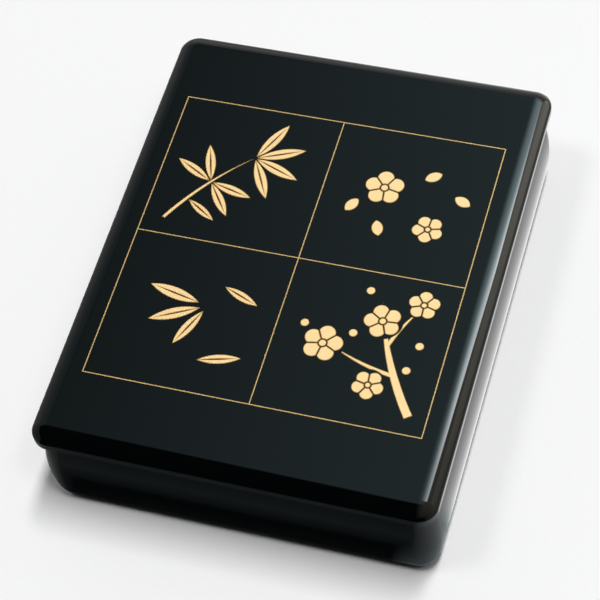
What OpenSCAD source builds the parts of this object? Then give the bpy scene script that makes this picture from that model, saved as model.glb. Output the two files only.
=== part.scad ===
// Lacquered document box with a lift-off lid, built of boards, mitred rails and rim strips.
// X runs across the short side, Y along the long side and Z up from the surface that the box stands on.
// The front is the short side at -Y. Sizes are in millimetres.

/* [Lid] */
// Width of the lid across its short side
lid_w = 260; // [230:1:320]
// Length of the lid along its long side
lid_l = 330; // [290:1:400]
// Radius of the broad round-over beside the flat top
brow_r = 14.7; // [11:0.1:18]
// Slope, in degrees, where the broad round-over passes into the small one
brow_turn = 55; // [45:1:65]
// Radius of the small round-over above the lip
lip_r = 1.5; // [1:0.1:6]
// Height of the upright lip below the small round-over
lip_h = 5; // [3:0.1:7]
// Radius of the lip's lower edge
lip_edge_r = 0.8; // [0.3:0.1:1.2]
// Radius of the flat top's corners, seen from above
top_corner_r = 0.3; // [0.2:0.1:4]
// Thickness of the lid's top board
lid_board_t = 6.5; // [5:0.5:8]

/* [Body] */
// Height of the closed box, without its gold
box_h = 80; // [65:1:120]
// How far the lid stands out beyond the walls where they are widest
overhang = 0.8; // [0.3:0.1:3]
// How far the walls swell out beyond their upper edge
swell = 6.4; // [3:0.2:8]
// Height at which the walls are widest
belly_z = 30; // [24:1:36]
// Radius of the rounded bottom edge
bottom_r = 13.5; // [11:0.5:18]
// Radius of the flat underside's corners, seen from above
base_corner_r = 1; // [0.2:0.1:4]
// Thickness of the walls at their upper edge
wall_t = 5; // [4:0.5:6]
// Thickness of the bottom board
bottom_t = 10; // [8:0.5:13]

/* [Rim] */
// Thickness of the rim strips inside the walls
strip_t = 3; // [2:0.5:4]
// How far the rim strips reach down inside the walls
strip_depth = 22; // [10:1:40]
// How far the rim strips stand up into the lid
strip_rise = 4.6; // [3:0.1:5]
// Extra corner radius that keeps the strips clear of the walls' inner corners
strip_corner_ease = 1; // [0.5:0.1:2]
// Clearance between the lid's rails and the rim strips
lid_clearance = 0.4; // [0.3:0.1:1]

/* [Joinery] */
// Thickness of the tongue under each wall
tongue_t = 3; // [2:0.5:4]
// Depth of the tongue in the bottom board's groove
tongue_h = 3; // [2:0.5:4]
// Thickness of the corner splines
spline_t = 2.5; // [1.5:0.5:3.5]
// Width of the corner splines across the mitre
spline_w = 8; // [6:0.5:10]
// Distance of the corner splines from the walls' lower and upper edges
spline_end_gap = 8; // [5:1:15]
// Room for glue around tongues and splines
glue_gap = 0.1; // [0.05:0.05:0.3]

/* [Gold lines] */
// Distance of the ruled frame from the lid's long sides
frame_side_margin = 20.5; // [16:0.5:40]
// Distance of the ruled frame from the lid's short sides
frame_end_margin = 54.2; // [40:0.2:70]
// How far the ruled frame lies off the lid's middle, towards the back
frame_shift = -1.5; // [-5:0.5:5]
// Width of the ruled lines
line_w = 0.7; // [0.5:0.1:2]
// Thickness of the gold
gold_t = 0.2; // [0.1:0.05:0.5]

/* [Gold sprays] */
// Free margin between a spray and the ruled lines around it
spray_margin = 8; // [6:1:16]
// Width of the veins and of the gaps between petals
vein_w = 0.7; // [0.4:0.1:1]
// Width of the lower layer's edge that shows round the upper layer of gold
rim_w = 0.4; // [0.2:0.05:0.5]

/* [Hidden] */
$fn = 96;
// Facets of the wide circles whose arcs bound the walls, leaves and twigs
arc_fn = 720;

lacquer = [0.08, 0.10, 0.11];
bare_wood = [0.72, 0.56, 0.38];
gold = [0.95, 0.80, 0.52];

// Lid edge: how far both round-overs reach in and drop, to a hundredth, with a lap so that they cross cleanly
round_lap = 0.015;
function hundredth(v) = round(100 * v) / 100;
edge_w = hundredth(brow_r * sin(brow_turn) + lip_r * (1 - sin(brow_turn)) + round_lap);
lid_edge_h = hundredth(brow_r * (1 - cos(brow_turn)) + lip_r * cos(brow_turn) + lip_h);
lid_corner_r = edge_w + top_corner_r;
shoulder_z = box_h - lid_edge_h;
board_z = box_h - lid_board_t;

// Body edge: radius of the swelling side, and how far it leans in where the rounded bottom edge takes over
side_rise = shoulder_z - belly_z;
belly_r = (side_rise * side_rise + swell * swell) / (2 * swell);
belly_turn = asin((belly_z - bottom_r) / (belly_r - bottom_r));

// Body outline, seen from above, as half sizes and a corner radius, and the well inside it
body_x = lid_w / 2 - overhang;
body_y = lid_l / 2 - overhang;
body_corner_r = hundredth(base_corner_r + belly_r - (belly_r - bottom_r) * cos(belly_turn) - round_lap);
well_x = body_x - swell - wall_t;
well_y = body_y - swell - wall_t;
well_corner_r = body_corner_r - swell - wall_t;
strip_corner_r = well_corner_r + strip_corner_ease;
mitre_y = (lid_l - lid_w) / 2;

// Gold frame, its four panels and the scale of the sprays, drawn on a field 100 units wide
frame_w = lid_w - 2 * frame_side_margin;
frame_l = lid_l - 2 * frame_end_margin;
panel_x = frame_w / 4;
panel_y = frame_l / 4;
spray_unit = (min(frame_w, frame_l) / 2 - 2 * spray_margin) / 100;
slack = 1;
far = lid_w + lid_l;

// Rectangle with round corners, given by its half sizes
module round_rect(half_x, half_y, r) {
    square([2 * half_x, 2 * (half_y - r)], center = true);
    square([2 * (half_x - r), 2 * half_y], center = true);
    for (sx = [-1, 1], sy = [-1, 1])
        translate([sx * (half_x - r), sy * (half_y - r)]) circle(r);
}

module round_prism(half_x, half_y, r, z0, z1) {
    translate([0, 0, z0]) linear_extrude(z1 - z0) round_rect(half_x, half_y, r);
}

// Block whose edge has the child's section, drawn from the corner's centre line outwards
module edged_block(half_x, half_y, r, h) {
    run_x = half_x - r;
    run_y = half_y - r;
    translate([-run_x, -run_y, 0]) cube([2 * run_x, 2 * run_y, h]);
    for (turn = [0, 180]) rotate(turn) {
        translate([run_x, 0, 0]) rotate([90, 0, 0]) linear_extrude(2 * run_y, center = true) children();
        translate([0, run_y, 0]) rotate([90, 0, 90]) linear_extrude(2 * run_x, center = true) children();
        translate([run_x, run_y, 0]) rotate_extrude(angle = 90) children();
        translate([-run_x, run_y, 0]) rotate(90) rotate_extrude(angle = 90) children();
    }
}

// Section of the lid's edge: flat top, broad round-over, small round-over, lip and its eased lower edge
module lid_edge_section() {
    lip_centre = [lid_corner_r - lip_r, lip_h];
    past_turn = lip_centre + (lip_r + slack) * [sin(brow_turn), cos(brow_turn)];
    past_side = lid_corner_r + slack;
    difference() {
        square([lid_corner_r, lid_edge_h]);
        difference() {
            translate([top_corner_r, lip_h]) square([edge_w + slack, lid_edge_h]);
            translate([top_corner_r, lid_edge_h - brow_r]) circle(brow_r);
        }
        difference() {
            polygon([lip_centre, past_turn, [past_side, past_turn.y], [past_side, lip_h]]);
            translate(lip_centre) circle(lip_r);
        }
        difference() {
            translate([lid_corner_r - lip_edge_r, -slack]) square([lip_edge_r + slack, lip_edge_r + slack]);
            translate([lid_corner_r - lip_edge_r, lip_edge_r]) circle(lip_edge_r);
        }
    }
}

// Section of the body's edge: swelling side that runs into the rounded bottom edge
module body_edge_section() {
    bottom_centre = [base_corner_r, bottom_r];
    past_turn = bottom_centre + (bottom_r + slack) * [cos(belly_turn), -sin(belly_turn)];
    past_side = body_corner_r + 2 * slack;
    difference() {
        intersection() {
            square([past_side, shoulder_z]);
            translate([body_corner_r - belly_r, belly_z]) circle(belly_r, $fn = arc_fn);
        }
        difference() {
            polygon([
                bottom_centre, past_turn, [past_side, past_turn.y], [past_side, -slack], [base_corner_r, -slack]
            ]);
            translate(bottom_centre) circle(bottom_r);
        }
    }
}

module lid_block() {
    translate([0, 0, shoulder_z]) edged_block(lid_w / 2, lid_l / 2, lid_corner_r, lid_edge_h) lid_edge_section();
}

module body_block() {
    edged_block(body_x, body_y, body_corner_r, shoulder_z) body_edge_section();
}

module between(z0, z1) {
    translate([-far / 2, -far / 2, z0]) cube([far, far, z1 - z0]);
}

// Ground between two mitre planes that one side's piece fills: side 0 is the front, then right, back and left
module side_wedge(side) {
    reach = lid_l;
    end_wedge = [[0, -mitre_y], [-reach, -mitre_y - reach], [reach, -mitre_y - reach]];
    long_wedge = [[0, mitre_y], [0, -mitre_y], [reach, -mitre_y - reach], [reach, mitre_y + reach]];
    rotate(side < 2 ? 0 : 180) translate([0, 0, -slack])
        linear_extrude(box_h + 2 * slack) polygon(side % 2 == 0 ? end_wedge : long_wedge);
}

// Upright keys across the four mitred wall corners
module corner_splines(gap) {
    z0 = bottom_t + spline_end_gap;
    z1 = shoulder_z - spline_end_gap;
    for (sx = [-1, 1], sy = [-1, 1])
        translate([sx * (body_x - body_corner_r), sy * (body_y - body_corner_r), z0])
            rotate(atan2(sy, sx)) translate([well_corner_r + wall_t / 2, 0, (z1 - z0 + gap) / 2])
                cube([spline_t + 2 * gap, spline_w + 2 * gap, z1 - z0 + gap], center = true);
}

// Ring of the walls' tongues, flush with the inside, or of the groove that takes them
module tongue_ring(gap) {
    difference() {
        round_prism(well_x + tongue_t + gap, well_y + tongue_t + gap, well_corner_r + tongue_t + gap,
                    bottom_t - tongue_h - gap, bottom_t + slack);
        round_prism(well_x - gap, well_y - gap, well_corner_r - gap, bottom_t - tongue_h - 2 * slack, box_h);
    }
}

module bottom_panel() color(lacquer) {
    difference() {
        intersection() {
            body_block();
            between(-slack, bottom_t);
        }
        tongue_ring(glue_gap);
    }
}

module wall(side) color(lacquer) {
    intersection() {
        difference() {
            union() {
                intersection() {
                    body_block();
                    between(bottom_t, box_h);
                }
                tongue_ring(0);
            }
            round_prism(well_x, well_y, well_corner_r, -slack, box_h);
            corner_splines(glue_gap);
        }
        side_wedge(side);
    }
}

module wall_corner_splines() color(bare_wood) corner_splines(0);

module rim_strip(side) color(lacquer) {
    intersection() {
        difference() {
            round_prism(well_x, well_y, strip_corner_r, shoulder_z - strip_depth, shoulder_z + strip_rise);
            round_prism(well_x - strip_t, well_y - strip_t, max(strip_corner_r - strip_t, lid_clearance),
                        -slack, box_h);
        }
        side_wedge(side);
    }
}

module lid_top_panel() color(lacquer) {
    intersection() {
        lid_block();
        between(board_z, box_h + slack);
    }
}

module lid_rail(side) color(lacquer) {
    inner_x = well_x + lid_clearance;
    inner_y = well_y + lid_clearance;
    inner_r = max(lid_corner_r - (lid_w / 2 - inner_x), lid_clearance);
    intersection() {
        difference() {
            intersection() {
                lid_block();
                between(0, board_z);
            }
            round_prism(inner_x, inner_y, inner_r, 0, box_h);
        }
        side_wedge(side);
    }
}

module gold_line_frame() color(gold) {
    translate([0, frame_shift, box_h]) linear_extrude(gold_t) difference() {
        square([frame_w + line_w, frame_l + line_w], center = true);
        for (sx = [-1, 1], sy = [-1, 1])
            translate([sx * panel_x, sy * panel_y])
                square([2 * panel_x - line_w, 2 * panel_y - line_w], center = true);
    }
}

// Two layers of gold on one panel of the lid, drawn in spray units from the panel's centre
// The upper layer is drawn in by $rim all round, so that the lower one shows as an edge
module on_panel(sx, sy) {
    for (layer = [1, 2]) let ($rim = (layer - 1) * rim_w / spray_unit)
        translate([sx * panel_x, frame_shift + sy * panel_y, box_h])
            linear_extrude(layer * gold_t / 2) scale(spray_unit) children();
}

// Pointed oval from the origin along +X, drawn in by an inset all round
module pointed_oval(l, w, inset) {
    r = (l * l + w * w) / (4 * w);
    intersection() {
        translate([l / 2, w / 2 - r]) circle(r - inset, $fn = arc_fn);
        translate([l / 2, r - w / 2]) circle(r - inset, $fn = arc_fn);
    }
}

// Leaf with its vein left open over part of its length
module leaf(l, w) {
    vein = vein_w / spray_unit;
    vein_start = 0.12;
    vein_share = 0.66;
    difference() {
        pointed_oval(l, w, $rim);
        translate([vein_start * l, 0]) pointed_oval(vein_share * l, vein, -$rim);
    }
}

// Stroke that starts along +X with a blunt end, bends to the right and runs out to a point at [l, -sag]
module twig(l, sag, t) {
    outer = sag + t / 2;
    inner = sag - t / 2;
    r_out = (l * l + outer * outer) / (2 * outer);
    r_in = (l * l + inner * inner) / (2 * inner);
    difference() {
        intersection() {
            translate([0, t / 2 - r_out]) circle(r_out - $rim, $fn = arc_fn);
            translate([$rim, -sag]) square([l, outer]);
        }
        translate([0, -t / 2 - r_in]) circle(r_in + $rim, $fn = arc_fn);
    }
}

// Five-petalled blossom with gaps between its petals and an open ring round its middle
module blossom(r, turn) {
    gap = vein_w / spray_unit;
    cut = gap + 2 * $rim;
    petals = 5;
    step = 360 / petals;
    petal_r = 0.42 * r;
    heart_r = 0.24 * r;
    rotate(turn) {
        difference() {
            for (i = [1 : petals]) rotate(step * i) translate([r - petal_r, 0]) circle(petal_r - $rim);
            for (i = [1 : petals]) rotate(step * (i + 0.5)) translate([0, -cut / 2]) square([r, cut]);
            circle(heart_r + $rim);
        }
        circle(heart_r - gap - $rim);
    }
}

// Arching bamboo stem with fans of leaves
module gold_bamboo_spray() color(gold) {
    stem = [-44, -46];
    stem_turn = 62;
    leaf_slimness = 0.24;
    leaf_stalk = 1.5;
    // Each fan: its place, the length of its leaves and their directions
    fans = [
        [[5, 16], 35, [64, 22, -20, -62]],
        [[-20, -10], 31, [152, 108, -14, -54]],
        [[-32, -27], 26, [-32]]
    ];
    on_panel(-1, 1) {
        translate(stem) rotate(stem_turn) twig(78, 14, 2.6);
        for (fan = fans, turn = fan[2])
            translate(fan[0]) rotate(turn) translate([leaf_stalk, 0]) leaf(fan[1], leaf_slimness * fan[1]);
    }
}

// Bent plum branch with side twigs, blossoms and buds
module gold_plum_branch() color(gold) {
    // Each twig: its place, direction, length, sag and thickness
    twigs = [[[46, -46], 125, 90, 16, 6], [[29, -18], 172, 48, 8, 3.2], [[19, 4], 74, 36, 6, 3]];
    // Each blossom: its place, radius and turn
    blossoms = [[[-24, -3], 14, 10], [[11, 22], 13, 40], [[35, 40], 11, 20], [[14, -28], 11, 60]];
    buds = [[-3, 44], [-6, 9], [40, 8], [-40, 10], [36, -12]];
    bud_r = 3;
    clear = 1;
    on_panel(1, -1) {
        difference() {
            for (t = twigs) translate(t[0]) rotate(t[1]) twig(t[2], t[3], t[4]);
            for (b = blossoms) translate(b[0]) circle(b[1] + clear + $rim);
            for (b = buds) translate(b) circle(bud_r + clear + $rim);
        }
        for (b = blossoms) translate(b[0]) blossom(b[1], b[2]);
        for (b = buds) translate(b) circle(bud_r - $rim);
    }
}

// Blossoms and petals that drift across the panel above the plum branch
module gold_loose_blossoms() color(gold) {
    petal_l = 13;
    petal_w = 8;
    // Each blossom: its place, radius and turn
    blossoms = [[[-16, 10], 14, 25], [[22, -18], 11, 50]];
    // Each petal: its place and direction
    petals = [[[10, 22], 35], [[-10, -30], 110], [[34, 12], -25], [[-38, -14], 60]];
    on_panel(1, 1) {
        for (b = blossoms) translate(b[0]) blossom(b[1], b[2]);
        for (p = petals) translate(p[0]) rotate(p[1]) pointed_oval(petal_l, petal_w, $rim);
    }
}

// Fallen leaves across the panel below the bamboo
module gold_loose_leaves() color(gold) {
    leaf_slimness = 0.24;
    // Each leaf: its place, direction and length
    leaves = [
        [[2, 10], 168, 38], [[4, 6], 206, 36], [[7, 4], 246, 32],
        [[16, 26], -22, 28], [[14, -34], 14, 30]
    ];
    on_panel(-1, -1)
        for (p = leaves) translate(p[0]) rotate(p[1]) leaf(p[2], leaf_slimness * p[2]);
}

bottom_panel();
wall(0);  // wall_front
wall(2);  // wall_back
wall(3);  // wall_left
wall(1);  // wall_right
wall_corner_splines();
rim_strip(0);  // rim_strip_front
rim_strip(2);  // rim_strip_back
rim_strip(3);  // rim_strip_left
rim_strip(1);  // rim_strip_right
lid_top_panel();
lid_rail(0);  // lid_rail_front
lid_rail(2);  // lid_rail_back
lid_rail(3);  // lid_rail_left
lid_rail(1);  // lid_rail_right
gold_line_frame();
gold_bamboo_spray();
gold_plum_branch();
gold_loose_blossoms();
gold_loose_leaves();
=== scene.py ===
"""Looks of a black lacquered document box with a lift-off lid, built around its packed construction model.

Metres and degrees, in the model's own frame: X across the short side, Y along the long side away from the
front, Z up from the surface that the box stands on. Each board, rail and strip is swept anew with fine arcs
and exact normals, so that the lacquer mirrors its surroundings without facets and no joint shows through it.
"""

import math

import bpy
from mathutils import Matrix, Vector
from mathutils.geometry import tessellate_polygon


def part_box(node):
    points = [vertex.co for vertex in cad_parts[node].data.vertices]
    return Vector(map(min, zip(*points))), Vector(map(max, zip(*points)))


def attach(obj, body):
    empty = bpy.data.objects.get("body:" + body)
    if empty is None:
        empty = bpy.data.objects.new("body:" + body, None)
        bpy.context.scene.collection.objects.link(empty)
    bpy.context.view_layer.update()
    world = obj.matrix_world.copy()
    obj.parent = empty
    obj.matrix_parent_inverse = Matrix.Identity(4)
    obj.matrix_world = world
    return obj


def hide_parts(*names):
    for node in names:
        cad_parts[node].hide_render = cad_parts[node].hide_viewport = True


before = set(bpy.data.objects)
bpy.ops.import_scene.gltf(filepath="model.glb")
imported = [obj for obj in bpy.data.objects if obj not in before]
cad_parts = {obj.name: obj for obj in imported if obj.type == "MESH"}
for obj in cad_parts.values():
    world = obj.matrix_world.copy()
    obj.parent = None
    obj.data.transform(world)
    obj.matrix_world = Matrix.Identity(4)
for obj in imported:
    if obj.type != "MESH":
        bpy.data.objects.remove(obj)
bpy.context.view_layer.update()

MM = 0.001
UP = Vector((0, 0, 1))

# Heights and outer half sizes, from the construction model
LID_TOP_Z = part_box("lid_top_panel")[1].z
BOARD_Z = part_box("lid_top_panel")[0].z
SHOULDER_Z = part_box("lid_rail_front")[0].z
FLOOR_BOARD_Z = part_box("bottom_panel")[1].z
TONGUE_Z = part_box("wall_front")[0].z
STRIP_LOW_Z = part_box("rim_strip_front")[0].z
STRIP_TOP_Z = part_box("rim_strip_front")[1].z
GOLD_TOP_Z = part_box("gold_plum_branch")[1].z
LID_HALF = Vector((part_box("lid_rail_right")[1].x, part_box("lid_rail_back")[1].y, 0))
BODY_HALF = Vector((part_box("wall_right")[1].x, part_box("wall_back")[1].y, 0))
WELL_HALF = Vector((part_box("rim_strip_right")[1].x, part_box("rim_strip_back")[1].y, 0))

# Lid edge: broad round-over, small round-over, lip and eased lower edge
TOP_CORNER_R = 0.3 * MM
BROW_R = 14.7 * MM
BROW_TURN = 55
LIP_R = 1.5 * MM
LIP_EDGE_R = 0.8 * MM
LID_CLEARANCE = 0.4 * MM

# Body: rounded bottom edge, swelling walls with their tongues, rim strips and splines
BASE_CORNER_R = 1 * MM
BOTTOM_R = 13.5 * MM
SWELL = 6.4 * MM
BELLY_Z = 30 * MM
WALL_T = 5 * MM
TONGUE_T = 3 * MM
GLUE_GAP = 0.1 * MM
STRIP_T = 3 * MM
STRIP_CORNER_EASE = 1 * MM
SPLINE_T = 2.5 * MM
SPLINE_W = 8 * MM
SPLINE_END_GAP = 8 * MM

# Softened edges that the lacquer gives to boards and strips
SHOULDER_EDGE_R = 0.6 * MM
STRIP_EDGE_R = 0.9 * MM
RAIL_EDGE_R = 0.6 * MM

# Fineness of the swept pieces
CORNER_STEPS = 32
RUN_STEPS = 10
ARC_STEP = 3
WELD = 1e-7

# The sides in turn, the corner angle where the first of them starts, and the one where a board's sweep starts
SIDES = ["front", "right", "back", "left"]
FIRST_MITRE = -135
BOARD_START = 45

# The photograph's camera
IMAGE_PX = 600
FOCAL_PX = 2240.2
SENSOR_MM = 36
CAMERA_AZIMUTH = 24.89
CAMERA_ELEVATION = 56.45
CAMERA_ROLL = 10.58
CAMERA_PLACE = Vector((338.7, -741.1, 1258.7)) * MM


# Sections: strokes of (point, normal) in the plane of u, outwards from the corners' centre lines, and z

def arc(centre, radius, start, end):
    """Stroke along a round edge, from one angle to another in degrees, with its normals pointing outwards."""
    steps = max(2, math.ceil(abs(end - start) / ARC_STEP))
    stroke = []
    for i in range(steps + 1):
        angle = math.radians(start + (end - start) * i / steps)
        normal = Vector((math.cos(angle), math.sin(angle)))
        stroke.append((Vector(centre) + radius * normal, normal))
    return stroke


def line(start, end):
    """Straight stroke whose normal lies to the left of the way from start to end."""
    start = Vector(start)
    end = Vector(end)
    along = (end - start).normalized()
    normal = Vector((-along.y, along.x))
    return [(start, normal), (end, normal)]


def joined(*parts):
    """Section from strokes and corner points: a straight stroke fills each way between two of them.

    Where two strokes meet, the second starts at the very point where the first ends.
    """
    section = []
    last = None
    for part in parts:
        first = part[0][0] if isinstance(part, list) else Vector(part)
        if last is not None and (first - last).length > WELD:
            section.append(line(last, first))
        elif last is not None:
            first.x, first.y = last
        if isinstance(part, list):
            section.append(part)
            first = part[-1][0]
        last = first
    return section


# Plans: stations of (base point, outward direction) round a rectangle, whose corners turn about fixed points

def corner_base(run, angle):
    """Fixed point that the corner at an angle in degrees turns about."""
    turn = math.radians(angle)
    return Vector((math.copysign(run.x, math.cos(turn)), math.copysign(run.y, math.sin(turn)), 0))


def stations(run, start, sweep):
    """Stations from a start angle over a sweep, both in degrees and both off the straight sides."""
    step = 90 / CORNER_STEPS
    path = []
    for i in range(round(sweep / step) + 1):
        angle = start + i * step
        out = Vector((math.cos(math.radians(angle)), math.sin(math.radians(angle)), 0))
        before = corner_base(run, angle - step / 2)
        after = corner_base(run, angle + step / 2)
        pieces = RUN_STEPS if (after - before).length > WELD else 0
        path += [(before.lerp(after, j / max(pieces, 1)), out) for j in range(pieces + 1)]
    return path


def on_station(station, spot):
    """Place and normal in space of a section's (point, normal) at a station."""
    base, out = station
    point, normal = spot
    return base + out * point.x + UP * point.y, out * normal.x + UP * normal.y


def section_loop(section, station):
    """A section's points in space at a station, each once."""
    loop = []
    for stroke in section:
        for spot in stroke:
            place = on_station(station, spot)[0]
            if not loop or (place - loop[-1]).length > WELD:
                loop.append(place)
    if (loop[0] - loop[-1]).length < WELD:
        loop.pop()
    return loop


class Shell:
    """Closed mesh gathered face by face, with a normal for each face corner.

    Points that coincide are shared.
    """

    def __init__(self):
        self.index = {}
        self.points = []
        self.faces = []
        self.normals = []

    def point(self, place):
        """Number of the point at a place, which is added if it is new."""
        key = tuple(round(c / WELD) for c in place)
        if key not in self.index:
            self.index[key] = len(self.points)
            self.points.append(tuple(place))
        return self.index[key]

    def face(self, corners):
        """Adds a face from (place, normal) corners, turned so that it looks the way its normals do."""
        ids = [self.point(place) for place, _ in corners]
        kept = [k for k in range(len(ids)) if ids[k] != ids[k - 1]]
        if len(kept) < 3:
            return
        area = Vector((0, 0, 0))
        for k in range(len(kept)):
            area += corners[kept[k - 1]][0].cross(corners[kept[k]][0])
        if area.dot(sum((corners[k][1] for k in kept), Vector((0, 0, 0)))) < 0:
            kept.reverse()
        self.faces.append([ids[k] for k in kept])
        self.normals += [tuple(corners[k][1]) for k in kept]

    def flat(self, loops, normal):
        """Adds a flat face with an outline and any holes, as triangles."""
        places = [place for loop in loops for place in loop]
        for triangle in tessellate_polygon(loops):
            self.face([(places[k], normal) for k in triangle])

    def sweep(self, section, path):
        """Adds a section's strokes, carried along a plan's stations."""
        for stroke in section:
            rows = [[on_station(station, spot) for spot in stroke] for station in path]
            for a, b in zip(rows, rows[1:]):
                for j in range(len(stroke) - 1):
                    self.face([a[j], b[j], b[j + 1], a[j + 1]])

    def recess(self, mouth, depth, normal):
        """Adds the walls and the floor of a slot behind its mouth, a hole in a flat face with that normal."""
        floor = [place - depth * normal for place in mouth]
        middle = sum(mouth, Vector((0, 0, 0))) / len(mouth)
        for k in range(len(mouth)):
            inwards = (middle - (mouth[k - 1] + mouth[k]) / 2).normalized()
            self.face([(place, inwards) for place in (mouth[k - 1], mouth[k], floor[k], floor[k - 1])])
        self.face([(place, normal) for place in floor])

    def piece(self, name, material):
        """New object with this mesh."""
        mesh = bpy.data.meshes.new(name)
        mesh.from_pydata(self.points, [], self.faces)
        mesh.shade_smooth()
        mesh.normals_split_custom_set(self.normals)
        mesh.materials.append(material)
        made = bpy.data.objects.new(name, mesh)
        bpy.context.scene.collection.objects.link(made)
        return made


def side_shell(section, run, side, pocket=None):
    """One side of the box from mitre to mitre.

    A pocket is a slot in each mitre: its low and high corner in the section, and its depth.
    """
    shell = Shell()
    path = stations(run, FIRST_MITRE + 90 * side, 90)
    shell.sweep(section, path)
    for station, way in ((path[0], -1), (path[-1], 1)):
        end_normal = way * Vector((-station[1].y, station[1].x, 0))
        loops = [section_loop(section, station)]
        if pocket:
            low, high, depth = pocket
            corners = [(low.x, low.y), (high.x, low.y), (high.x, high.y), (low.x, high.y)]
            mouth = [on_station(station, (Vector(c), Vector((0, 0))))[0] for c in corners]
            shell.recess(mouth, depth, end_normal)
            loops.append(mouth)
        shell.flat(loops, end_normal)
    return shell


def ring_shell(section, run):
    """A board whose edge has the section all round, closed by flat faces at the section's two ends."""
    shell = Shell()
    path = stations(run, BOARD_START, 360)
    shell.sweep(section, path)
    for spot, normal in ((section[0][0], UP), (section[-1][-1], -UP)):
        ring = [on_station(station, spot)[0] for station in path[:-1]]
        shell.face([(place, normal) for place in ring])
    return shell


# Sections of the pieces

BROW_SIN = math.sin(math.radians(BROW_TURN))
BROW_COS = math.cos(math.radians(BROW_TURN))
LID_CORNER_R = TOP_CORNER_R + BROW_R * BROW_SIN + LIP_R * (1 - BROW_SIN)
LIP_CENTRE = (LID_CORNER_R - LIP_R, LID_TOP_Z - BROW_R * (1 - BROW_COS) - LIP_R * BROW_COS)
SIDE_RISE = SHOULDER_Z - BELLY_Z
BELLY_R = (SIDE_RISE ** 2 + SWELL ** 2) / (2 * SWELL)
BELLY_TURN = math.degrees(math.asin((BELLY_Z - BOTTOM_R) / (BELLY_R - BOTTOM_R)))
BODY_CORNER_R = BASE_CORNER_R + BELLY_R - (BELLY_R - BOTTOM_R) * math.cos(math.radians(BELLY_TURN))
BELLY_CENTRE = (BODY_CORNER_R - BELLY_R, BELLY_Z)
WELL_U = BODY_CORNER_R - (BODY_HALF.x - WELL_HALF.x)
STRIP_CORNER_R = WELL_U + STRIP_CORNER_EASE

LID_RUN = LID_HALF - LID_CORNER_R * Vector((1, 1, 0))
BODY_RUN = BODY_HALF - BODY_CORNER_R * Vector((1, 1, 0))
STRIP_RUN = WELL_HALF - STRIP_CORNER_R * Vector((1, 1, 0))

# Angles at which the lid's board meets the rails and the walls meet the bottom board
BOARD_ANGLE = math.degrees(math.asin((BOARD_Z - LIP_CENTRE[1]) / LIP_R))
WALL_ANGLE = math.degrees(math.asin((FLOOR_BOARD_Z - BOTTOM_R) / BOTTOM_R))


def lid_top_section():
    return joined(
        arc((TOP_CORNER_R, LID_TOP_Z - BROW_R), BROW_R, 90, 90 - BROW_TURN),
        arc(LIP_CENTRE, LIP_R, 90 - BROW_TURN, BOARD_ANGLE),
    )


def lid_rail_section():
    inner = LID_CORNER_R - (LID_HALF.x - WELL_HALF.x - LID_CLEARANCE)
    small = arc(LIP_CENTRE, LIP_R, BOARD_ANGLE, 0)
    return joined(
        small,
        arc((LID_CORNER_R - LIP_EDGE_R, SHOULDER_Z + LIP_EDGE_R), LIP_EDGE_R, 0, -90),
        arc((inner + RAIL_EDGE_R, SHOULDER_Z + RAIL_EDGE_R), RAIL_EDGE_R, -90, -180),
        (inner, BOARD_Z),
        small[0][0],
    )


def wall_section():
    tongue_u = WELL_U + TONGUE_T
    edge_z = SHOULDER_Z - SHOULDER_EDGE_R
    edge_reach = BELLY_R - SHOULDER_EDGE_R
    edge_turn = math.asin((edge_z - BELLY_Z) / edge_reach)
    edge_u = BELLY_CENTRE[0] + edge_reach * math.cos(edge_turn)
    lean = math.degrees(edge_turn)
    return joined(
        (WELL_U, SHOULDER_Z),
        arc((edge_u, edge_z), SHOULDER_EDGE_R, 90, lean),
        arc(BELLY_CENTRE, BELLY_R, lean, -BELLY_TURN),
        arc((BASE_CORNER_R, BOTTOM_R), BOTTOM_R, -BELLY_TURN, WALL_ANGLE),
        (tongue_u, FLOOR_BOARD_Z),
        (tongue_u, TONGUE_Z),
        (WELL_U, TONGUE_Z),
        (WELL_U, SHOULDER_Z),
    )


def bottom_section():
    groove_in = WELL_U - GLUE_GAP
    groove_out = WELL_U + TONGUE_T + GLUE_GAP
    groove_z = TONGUE_Z - GLUE_GAP
    return joined(
        (groove_in, FLOOR_BOARD_Z),
        (groove_in, groove_z),
        (groove_out, groove_z),
        (groove_out, FLOOR_BOARD_Z),
        arc((BASE_CORNER_R, BOTTOM_R), BOTTOM_R, WALL_ANGLE, -90),
    )


def strip_section():
    r = STRIP_EDGE_R
    inner = STRIP_CORNER_R - STRIP_T
    return joined(
        arc((inner + r, STRIP_TOP_Z - r), r, 180, 90),
        arc((STRIP_CORNER_R - r, STRIP_TOP_Z - r), r, 90, 0),
        (STRIP_CORNER_R, STRIP_LOW_Z),
        arc((inner + r, STRIP_LOW_Z + r), r, -90, -180),
        (inner, STRIP_TOP_Z - r),
    )


def spline_pocket():
    """Slot in each wall mitre that the corner spline fills, as low corner, high corner and depth."""
    middle = WELL_U + WALL_T / 2
    half = SPLINE_T / 2 + GLUE_GAP
    low = Vector((middle - half, FLOOR_BOARD_Z + SPLINE_END_GAP))
    high = Vector((middle + half, SHOULDER_Z - SPLINE_END_GAP + GLUE_GAP))
    return low, high, SPLINE_W / 2 + GLUE_GAP


# Materials

LACQUER_IOR = 1.3
GRAIN_STRETCH = (1, 1, 0.08)
NOISE_SPAN = (0.3, 0.7)


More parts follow.
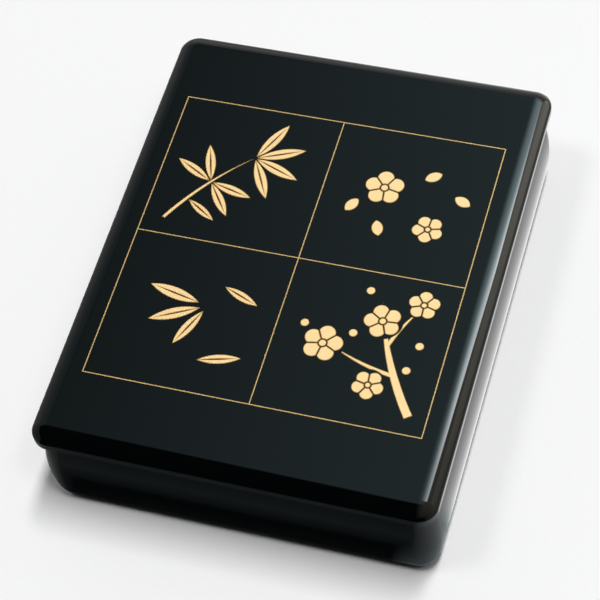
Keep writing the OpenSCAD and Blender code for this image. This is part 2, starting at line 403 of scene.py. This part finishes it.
class Graph:
    """Short way to add nodes to a node tree: a socket given as a value is linked, any other value is set."""

    def __init__(self, tree):
        self.tree = tree

    def feed(self, node, inputs):
        for socket, value in inputs.items():
            if isinstance(value, bpy.types.NodeSocket):
                self.tree.links.new(value, node.inputs[socket])
            else:
                node.inputs[socket].default_value = value

    def add(self, kind, inputs, **settings):
        """Outputs of a new node."""
        made = self.tree.nodes.new(kind)
        for name, value in settings.items():
            setattr(made, name, value)
        self.feed(made, inputs)
        return made.outputs

    def place(self):
        return self.add("ShaderNodeTexCoord", {})["Object"]

    def axes(self, vector):
        """A vector's X, Y and Z."""
        parts = self.add("ShaderNodeSeparateXYZ", {"Vector": vector})
        return parts["X"], parts["Y"], parts["Z"]

    def noise(self, place, size, detail):
        """Noise from 0 to 1 whose blots are about size metres across."""
        return self.add("ShaderNodeTexNoise", {"Vector": place, "Scale": 1 / size, "Detail": detail})["Fac"]

    def ramp(self, value, span, levels, kind="LINEAR"):
        """Carries a value from a span to the levels at its two ends, and holds it beyond them."""
        inputs = {
            "Value": value,
            "From Min": span[0],
            "From Max": span[1],
            "To Min": levels[0],
            "To Max": levels[1],
        }
        return self.add("ShaderNodeMapRange", inputs, interpolation_type=kind)["Result"]

    def math(self, operation, a, b):
        return self.add("ShaderNodeMath", {0: a, 1: b}, operation=operation)["Value"]

    def mix(self, factor, a, b):
        """Colour between a and b. In a Mix node, inputs 6 and 7 and output 2 are the colours."""
        return self.add("ShaderNodeMix", {0: factor, 6: a, 7: b}, data_type="RGBA")[2]

    def bump(self, height, distance):
        return self.add("ShaderNodeBump", {"Height": height, "Distance": distance})["Normal"]


class Material(Graph):
    """Graph of a new material."""

    def __init__(self, name):
        self.material = bpy.data.materials.new(name)
        self.material.use_nodes = True
        super().__init__(self.material.node_tree)

    def surface(self, inputs):
        """Gives the material's own shader its inputs, and the material back."""
        self.feed(self.tree.nodes["Principled BSDF"], inputs)
        return self.material

    def shine(self, colour, strength):
        """Makes the material shine and do nothing else, and gives it back."""
        emission = self.add("ShaderNodeEmission", {"Color": colour, "Strength": strength})["Emission"]
        self.feed(self.tree.nodes["Material Output"], {"Surface": emission})
        return self.material


def rgb(red, green, blue):
    return (red, green, blue, 1.0)


def lacquer(name, low_roughness, high_roughness):
    """Black lacquer with a breath of blue-green, polished by hand to a slightly uneven gloss."""
    graph = Material(name)
    place = graph.place()
    cloud = graph.noise(place, 45 * MM, 3)
    wipe = graph.noise(place, 14 * MM, 4)
    ripple = graph.noise(place, 9 * MM, 1)
    return graph.surface({
        "Base Color": graph.mix(cloud, rgb(0.0006, 0.0009, 0.0010), rgb(0.0011, 0.0016, 0.0018)),
        "Roughness": graph.ramp(wipe, NOISE_SPAN, (low_roughness, high_roughness)),
        "IOR": LACQUER_IOR,
        "Normal": graph.bump(ripple, 0.004 * MM),
    })


def sprayed_gold(name):
    """Gold powder, pale on its top. Below its top quarter the gold is painted a deeper tone, a painted shade
    that edges the pale motifs.
    """
    graph = Material(name)
    place = graph.place()
    height = graph.axes(place)[2]
    gold_t = GOLD_TOP_Z - LID_TOP_Z
    # Painted shade: all of the gold's sides, below the top quarter of its thickness, take the deeper tone.
    unshaded_top = graph.math("GREATER_THAN", height, GOLD_TOP_Z - gold_t / 4)
    blush = graph.noise(place, 7 * MM, 3)
    powder = graph.noise(place, 0.6 * MM, 2)
    pale = graph.mix(blush, rgb(0.98, 0.69, 0.33), rgb(0.96, 0.63, 0.30))
    return graph.surface({
        "Base Color": graph.mix(unshaded_top, rgb(0.45, 0.26, 0.07), pale),
        "Metallic": 0.15,
        "Roughness": graph.ramp(powder, NOISE_SPAN, (0.36, 0.5)),
        "Normal": graph.bump(powder, 0.03 * MM),
    })


def ruled_gold(name):
    """Thin gold lines, a little uneven where the gold lies thinner on the lacquer."""
    graph = Material(name)
    place = graph.place()
    blush = graph.noise(place, 12 * MM, 3)
    powder = graph.noise(place, 0.6 * MM, 2)
    return graph.surface({
        "Base Color": graph.mix(blush, rgb(0.54, 0.33, 0.11), rgb(0.65, 0.42, 0.18)),
        "Metallic": 0.25,
        "Roughness": graph.ramp(powder, NOISE_SPAN, (0.34, 0.48)),
    })


def bare_wood(name):
    """Pale softwood with its grain running up the splines."""
    graph = Material(name)
    place = graph.place()
    stretched = graph.add("ShaderNodeMapping", {"Vector": place, "Scale": GRAIN_STRETCH})["Vector"]
    grain = graph.noise(stretched, 1.2 * MM, 4)
    return graph.surface({
        "Base Color": graph.mix(grain, rgb(0.36, 0.20, 0.08), rgb(0.58, 0.36, 0.17)),
        "Roughness": graph.ramp(grain, NOISE_SPAN, (0.55, 0.7)),
        "Normal": graph.bump(grain, 0.05 * MM),
    })


def paper_floor(name):
    """Smooth white paper."""
    graph = Material(name)
    tooth = graph.noise(graph.place(), 3 * MM, 2)
    return graph.surface({
        "Base Color": graph.mix(tooth, rgb(0.90, 0.90, 0.905), rgb(0.93, 0.93, 0.935)),
        "Roughness": 0.9,
        "Specular IOR Level": 0.1,
    })


# The object

def dress(shell, node, body, material):
    """Puts a swept piece in the place of its construction node."""
    piece = shell.piece("lacquer_" + node, material)
    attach(piece, body)
    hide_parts(node)


def make_lacquered_pieces():
    outer = lacquer("outer_lacquer", 0.035, 0.06)
    inner = lacquer("inner_lacquer", 0.12, 0.2)
    dress(ring_shell(lid_top_section(), LID_RUN), "lid_top_panel", "lid", outer)
    dress(ring_shell(bottom_section(), BODY_RUN), "bottom_panel", "box", outer)
    for number, side in enumerate(SIDES):
        dress(side_shell(lid_rail_section(), LID_RUN, number), "lid_rail_" + side, "lid", outer)
        dress(side_shell(wall_section(), BODY_RUN, number, spline_pocket()), "wall_" + side, "box", outer)
        dress(side_shell(strip_section(), STRIP_RUN, number), "rim_strip_" + side, "box", inner)


def finish_kept_nodes():
    """Gives their materials to the construction nodes that no piece replaces."""
    spray = sprayed_gold("sprayed_gold")
    node_materials = {
        "gold_line_frame": ruled_gold("ruled_gold_lines"),
        "gold_bamboo_spray": spray,
        "gold_plum_branch": spray,
        "gold_loose_blossoms": spray,
        "gold_loose_leaves": spray,
        "wall_corner_splines": bare_wood("spline_wood"),
    }
    for node, material in node_materials.items():
        for material_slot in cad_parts[node].material_slots:
            material_slot.material = material


# Stage, light and camera

FLOOR_HALF = 6.0
CEILING_Z = 2.2
CEILING_BACK_Y = 3.4
FLAG_Y = -4.0
WALL_X = 3.5
WALL_BACK_Y = 6.0
LEFT_WALL_X = -4.0
# Reach and height of the gloss-only sheet that paints the floor's reflection with its shadow.
PAINTED_REFLECTION_REACH = 0.7
PAINTED_REFLECTION_Z = 0.3 * MM

# The ceiling's window: where it sets in across X, and its near and far end.
# The near end is measured along X minus a slant times Y, and the far end along X plus a slant times Y.
WINDOW_X = (-0.2, 1.2)
NEAR_SLANT = 1.09
NEAR_END = 0.2
FAR_SLANT = 3.0
FAR_END = 8.3

WHITE = rgb(1, 1, 1)
BLACK = rgb(0, 0, 0)
WARM = rgb(1.0, 0.97, 0.86)

# Lamps that hang at one height: name, X and Y, size across X and Y, and watts
LAMP_Z = 16
LAMPS = [
    ("overhead_lamp", (1.9, 1.6), (2.0, 8.5), 1970),
    ("left_lamp", (-5.5, -3.0), (3, 3), 370),
    ("right_lamp", (7, -3.0), (3, 3), 290),
]
AMBIENT_MOST = 0.25


class Glow(Material):
    """Graph of a card's material, with the axes that its colour and strength follow."""

    def __init__(self, name):
        super().__init__(name)
        self.x, self.y, self.z = self.axes(self.place())


def warm_level(glow):
    """Strength of the studio's warm right side, which fades to the front and is lightest at the back."""
    near = glow.ramp(glow.y, (FLAG_Y, 1.5), (0.2, 1.25))
    return glow.math("MAXIMUM", near, glow.ramp(glow.y, (1.0, 2.9), (0.0, 4.6)))


def ceiling_glow():
    """Ceiling: dark over the front and dim over the back, with a bright window before its warm right side."""
    glow = Glow("ceiling_glow")
    dark_edge = glow.ramp(glow.x, (-0.94, -0.28), (0.52, 0.0))
    back = glow.ramp(glow.math("SUBTRACT", glow.y, dark_edge), (-0.15, 0.15), (0.0, 1.0), "SMOOTHSTEP")
    right = glow.ramp(glow.x, (-1.0, 0.3), (0.43, 1.7))
    left = glow.ramp(glow.x, (-1.0, -1.8), (0.3, 0.6))
    dim = glow.math("MULTIPLY", back, glow.math("MAXIMUM", left, right))

    near_way = glow.math("SUBTRACT", glow.x, glow.math("MULTIPLY", glow.y, NEAR_SLANT))
    far_way = glow.math("ADD", glow.x, glow.math("MULTIPLY", glow.y, FAR_SLANT))
    inner_part = glow.ramp(glow.x, WINDOW_X, (0.0, 0.26), "SMOOTHSTEP")
    edge_level = glow.ramp(glow.y, (1.7, 2.3), (0.8, 1.5))
    edge_part = glow.ramp(near_way, (NEAR_END - 1.0, NEAR_END + 0.1), (0.0, edge_level), "SMOOTHSTEP")
    window = glow.math("ADD", inner_part, edge_part)
    near_fade = glow.ramp(glow.y, (0.7, 1.3), (0.0, 1.0))
    far_fade = glow.ramp(glow.y, (2.0, 2.5), (24.5, 7.0))
    bright = glow.math("MULTIPLY", window, glow.math("MULTIPLY", near_fade, far_fade))

    past_near = glow.ramp(near_way, (NEAR_END, NEAR_END + 0.15), (0.0, 1.0))
    past_far = glow.ramp(far_way, (FAR_END, FAR_END + 0.3), (0.0, 1.0))
    right_part = glow.ramp(glow.x, WINDOW_X, (0.0, 1.0))
    beyond = glow.math("MULTIPLY", right_part, glow.math("MAXIMUM", past_near, past_far))
    level = glow.ramp(beyond, (0.0, 1.0), (glow.math("ADD", dim, bright), warm_level(glow)))
    cool = glow.mix(window, rgb(0.68, 0.95, 1.0), rgb(0.90, 0.97, 1.0))
    return glow.shine(glow.mix(beyond, cool, WARM), level)


def wall_glow():
    """Warm wall at the right, a little darker at its foot."""
    glow = Glow("wall_glow")
    foot = glow.ramp(glow.z, (0.0, 0.7), (0.3, 1.0))
    return glow.shine(WARM, glow.math("MULTIPLY", foot, warm_level(glow)))


def left_wall_glow():
    """Dim wall at the left, a little lighter to the back."""
    glow = Glow("left_wall_glow")
    return glow.shine(WHITE, glow.ramp(glow.y, (0.5, 2.9), (0.36, 0.6)))


def painted_floor_reflection_glow():
    """Painted reflection of the floor on a gloss-only sheet: white, with a painted soft black shadow in
    front, painted dimmer shade on the left and a painted brighter right.
    """
    glow = Glow("painted_floor_reflection_glow")
    front_y = -BODY_HALF.y
    # Painted shadow: near black just in front of the box, lighter further out.
    shadow = glow.ramp(glow.y, (front_y - 18 * MM, front_y - 45 * MM), (0.012, 0.19))
    front = glow.math("MAXIMUM", shadow, glow.ramp(glow.y, (-0.3, -PAINTED_REFLECTION_REACH), (0.0, 1.0)))
    right = glow.ramp(glow.x, (0.095, 0.20), (0.0, 1.0))
    left = glow.ramp(glow.x, (-0.11, -0.16), (0.0, 1.0), "SMOOTHSTEP")
    back = glow.ramp(glow.y, (front_y + 20 * MM, front_y + 60 * MM), (0.0, 1.0), "SMOOTHSTEP")
    aside = glow.math("MAXIMUM", glow.math("MAXIMUM", left, right), back)
    # Painted shade and light: the floor's reflection is dimmer on the left and brighter than the floor on the
    # right.
    left_level = glow.ramp(glow.y, (-0.2, 0.7), (0.28, 0.42))
    level = glow.ramp(glow.x, (-BODY_HALF.x, BODY_HALF.x), (left_level, 1.3))
    # Painted blue-green tint in the reflection of the shaded front.
    colour = glow.mix(aside, rgb(0.76, 0.95, 1.0), WHITE)
    return glow.shine(colour, glow.math("MAXIMUM", front, glow.math("MULTIPLY", aside, level)))


def make_card(name, low, high, material):
    """Upright or level rectangle between two opposite corners, which share one coordinate."""
    low = Vector(low)
    high = Vector(high)
    shared = min(range(3), key=lambda k: abs(high[k] - low[k]))
    first, second = [k for k in range(3) if k != shared]
    across = low.copy()
    across[first] = high[first]
    along = low.copy()
    along[second] = high[second]
    mesh = bpy.data.meshes.new(name)
    mesh.from_pydata([low, across, high, along], [], [(0, 1, 2, 3)])
    mesh.materials.append(material)
    made = bpy.data.objects.new(name, mesh)
    bpy.context.scene.collection.objects.link(made)
    return made


def make_mirror_card(name, low, high, material):
    """Studio card that shows only in gloss, and neither lights the object nor shades it."""
    made = make_card(name, low, high, material)
    made.visible_camera = False
    made.visible_diffuse = False
    made.visible_transmission = False
    made.visible_shadow = False


def make_studio():
    make_card("floor", (-FLOOR_HALF, -FLOOR_HALF, 0), (FLOOR_HALF, FLOOR_HALF, 0), paper_floor("white_paper"))
    make_mirror_card(
        "ceiling",
        (LEFT_WALL_X, FLAG_Y, CEILING_Z),
        (WALL_X, CEILING_BACK_Y, CEILING_Z),
        ceiling_glow(),
    )
    make_mirror_card(
        "wall",
        (WALL_X, FLAG_Y, 0),
        (WALL_X, WALL_BACK_Y, CEILING_Z),
        wall_glow(),
    )
    make_mirror_card(
        "left_wall",
        (LEFT_WALL_X, FLAG_Y, 0),
        (LEFT_WALL_X, WALL_BACK_Y, CEILING_Z),
        left_wall_glow(),
    )
    make_mirror_card(
        "front_flag",
        (LEFT_WALL_X, FLAG_Y, 0),
        (WALL_X, FLAG_Y, CEILING_Z),
        Material("flag_black").shine(BLACK, 0.0),
    )
    # Gloss-only sheet with a painted reflection of the floor and a painted shadow in front of the box.
    make_mirror_card(
        "painted_floor_reflection",
        (LEFT_WALL_X, -PAINTED_REFLECTION_REACH, PAINTED_REFLECTION_Z),
        (PAINTED_REFLECTION_REACH, CEILING_BACK_Y, PAINTED_REFLECTION_Z),
        painted_floor_reflection_glow(),
    )


def make_lamp(name, place, size, power):
    """Soft lamp that faces straight down and lights the object without showing in its gloss."""
    lamp = bpy.data.lights.new(name, "AREA")
    lamp.shape = "RECTANGLE"
    lamp.size, lamp.size_y = size
    lamp.energy = power
    light = bpy.data.objects.new(name, lamp)
    light.location = (*place, LAMP_Z)
    light.visible_camera = False
    light.visible_glossy = False
    bpy.context.scene.collection.objects.link(light)


def make_world():
    """White to the camera and in gloss and glass, and elsewhere a dimmer light that comes from behind."""
    world = bpy.data.worlds.new("studio")
    bpy.context.scene.world = world
    world.use_nodes = True
    graph = Graph(world.node_tree)
    ray = graph.add("ShaderNodeLightPath", {})
    seen = graph.math("MAXIMUM", ray["Is Camera Ray"], ray["Is Glossy Ray"])
    seen = graph.math("MAXIMUM", seen, ray["Is Transmission Ray"])
    way = graph.add("ShaderNodeTexCoord", {})["Generated"]
    towards_back = graph.axes(way)[1]
    ambient = graph.ramp(towards_back, (-0.5, 0.5), (0.0, AMBIENT_MOST))
    background = graph.tree.nodes["Background"]
    graph.feed(background, {"Color": WHITE, "Strength": graph.math("MAXIMUM", seen, ambient)})


def make_camera():
    azimuth = math.radians(CAMERA_AZIMUTH)
    elevation = math.radians(CAMERA_ELEVATION)
    roll = math.radians(CAMERA_ROLL)
    back = Vector((
        math.sin(azimuth) * math.cos(elevation),
        -math.cos(azimuth) * math.cos(elevation),
        math.sin(elevation),
    ))
    level = Vector((math.cos(azimuth), math.sin(azimuth), 0))
    down = level.cross(back)
    right = math.cos(roll) * level + math.sin(roll) * down
    up = math.sin(roll) * level - math.cos(roll) * down
    lens = bpy.data.cameras.new("photo_camera")
    lens.sensor_width = SENSOR_MM
    lens.lens = FOCAL_PX / IMAGE_PX * SENSOR_MM
    camera = bpy.data.objects.new("photo_camera", lens)
    camera.matrix_world = Matrix.Translation(CAMERA_PLACE) @ Matrix((right, up, back)).transposed().to_4x4()
    bpy.context.scene.collection.objects.link(camera)
    bpy.context.scene.camera = camera


make_lacquered_pieces()
finish_kept_nodes()
make_studio()
for lamp in LAMPS:
    make_lamp(*lamp)
make_world()
make_camera()
bpy.context.scene.view_settings.view_transform = "Standard"
